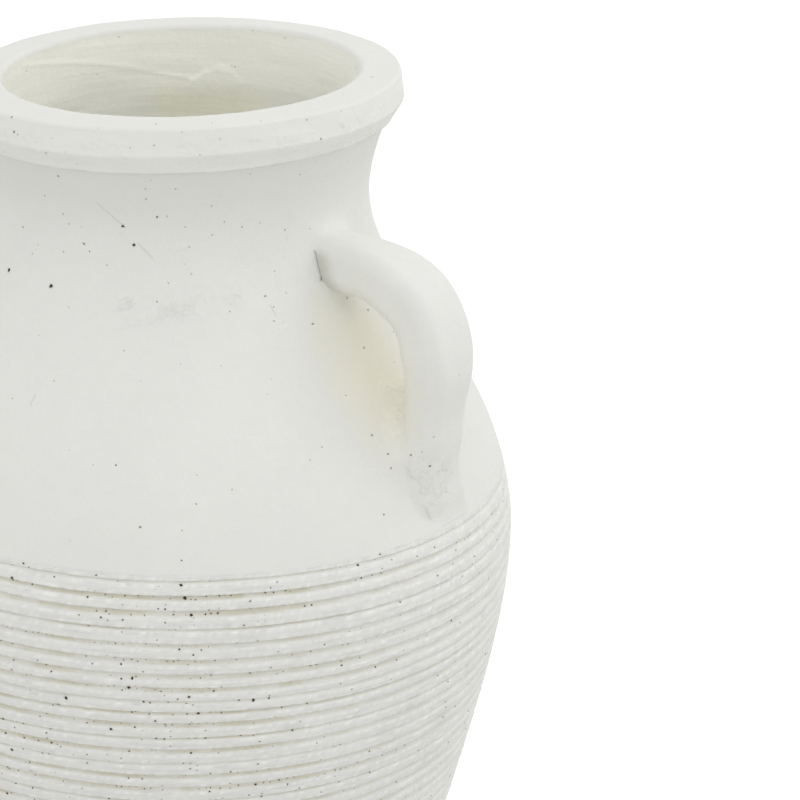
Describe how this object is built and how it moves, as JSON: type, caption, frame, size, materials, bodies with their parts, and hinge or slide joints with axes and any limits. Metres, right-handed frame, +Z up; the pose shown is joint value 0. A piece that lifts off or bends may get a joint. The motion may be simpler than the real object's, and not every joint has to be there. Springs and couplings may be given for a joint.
{
  "type": "two-handled vase",
  "caption": "Shouldered terracotta vase with a rolled rim, two strap handles on the shoulder and a combed belly under a matt off-white skin.",
  "frame": {"origin": "centre of the foot ring, on the plane it stands on", "axes": "+Z up along the axis the vase was thrown on, the two handles along +X and -X"},
  "size_m": [0.2452, 0.24, 0.345],
  "materials": {
    "limewashed_clay": "matte"
  },
  "bodies": {
    "root": {"base": "limewashed_clay", "belly": "limewashed_clay", "shoulder": "limewashed_clay", "neck": "limewashed_clay", "rim": "limewashed_clay", "handle_right": "limewashed_clay", "handle_left": "limewashed_clay"}
  },
  "joints": []
}
